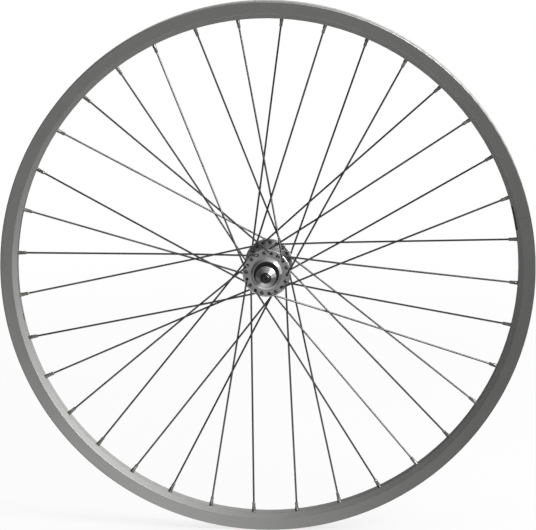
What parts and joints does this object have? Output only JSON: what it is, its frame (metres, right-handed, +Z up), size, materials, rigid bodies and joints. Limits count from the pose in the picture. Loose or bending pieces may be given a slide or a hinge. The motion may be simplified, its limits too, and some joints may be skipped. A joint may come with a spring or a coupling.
{
  "type": "bicycle wheel",
  "caption": "Front bicycle wheel with a satin alloy rim, crossed steel spokes, brass nipples and a polished ball bearing hub on a nutted axle.",
  "frame": {"origin": "the wheel's centre, on the axle midway between the flanges", "axes": "+Y along the axle towards the wheel's left side, +Z up, +X forwards"},
  "size_m": [0.572, 0.149, 0.572],
  "materials": {
    "rim_alloy": "satin anodised, finely brushed round the rim",
    "hub_alloy": "polished",
    "spoke_steel": "drawn wire, bright",
    "nipple_nickel": "nickel plated",
    "bearing_steel": "ground and polished",
    "plated_steel": "zinc plated",
    "nut_chrome": "chrome plated",
    "axle_steel": "black oxide with a rolled thread",
    "dust_cap_plastic": "fine matt black"
  },
  "bodies": {
    "axle": {"axle": "axle_steel", "cone_left": "bearing_steel", "key_washer_left": "plated_steel", "locknut_left": "plated_steel", "axle_washer_left": "plated_steel", "axle_nut_left": "nut_chrome", "cone_right": "bearing_steel", "key_washer_right": "plated_steel", "locknut_right": "plated_steel", "axle_washer_right": "plated_steel", "axle_nut_right": "nut_chrome"},
    "wheel": {"rim": "rim_alloy", "hub_shell": "hub_alloy", "nipples": "nipple_nickel", "spoke_01": "spoke_steel", "spoke_02": "spoke_steel", "spoke_03": "spoke_steel", "spoke_04": "spoke_steel", "spoke_05": "spoke_steel", "spoke_06": "spoke_steel", "spoke_07": "spoke_steel", "spoke_08": "spoke_steel", "spoke_09": "spoke_steel", "spoke_10": "spoke_steel", "spoke_11": "spoke_steel", "spoke_12": "spoke_steel", "spoke_13": "spoke_steel", "spoke_14": "spoke_steel", "spoke_15": "spoke_steel", "spoke_16": "spoke_steel", "spoke_17": "spoke_steel", "spoke_18": "spoke_steel", "spoke_19": "spoke_steel", "spoke_20": "spoke_steel", "spoke_21": "spoke_steel", "spoke_22": "spoke_steel", "spoke_23": "spoke_steel", "spoke_24": "spoke_steel", "spoke_25": "spoke_steel", "spoke_26": "spoke_steel", "spoke_27": "spoke_steel", "spoke_28": "spoke_steel", "spoke_29": "spoke_steel", "spoke_30": "spoke_steel", "spoke_31": "spoke_steel", "spoke_32": "spoke_steel", "spoke_33": "spoke_steel", "spoke_34": "spoke_steel", "spoke_35": "spoke_steel", "spoke_36": "spoke_steel", "bearing_cup_left": "bearing_steel", "dust_cap_left": "dust_cap_plastic", "bearing_cup_right": "bearing_steel", "dust_cap_right": "dust_cap_plastic"},
    "ball_ring_left": {"bearing_balls_left": "bearing_steel", "ball_retainer_left": "bearing_steel"},
    "ball_ring_right": {"bearing_balls_right": "bearing_steel", "ball_retainer_right": "bearing_steel"}
  },
  "joints": [
    {"name": "wheel_spin", "type": "hinge", "parent": "axle", "child": "wheel", "pos_m": [0, 0, 0], "axis": [0, 1, 0], "continuous": true},
    {"name": "ball_ring_left_spin", "type": "hinge", "parent": "axle", "child": "ball_ring_left", "pos_m": [0, 0.0362, 0], "axis": [0, 1, 0], "continuous": true},
    {"name": "ball_ring_right_spin", "type": "hinge", "parent": "axle", "child": "ball_ring_right", "pos_m": [0, -0.0362, 0], "axis": [0, 1, 0], "continuous": true}
  ],
  "couplings": [
    {"joint": "ball_ring_left_spin", "follows": "wheel_spin", "ratio": 0.5867},
    {"joint": "ball_ring_right_spin", "follows": "wheel_spin", "ratio": 0.5867}
  ]
}
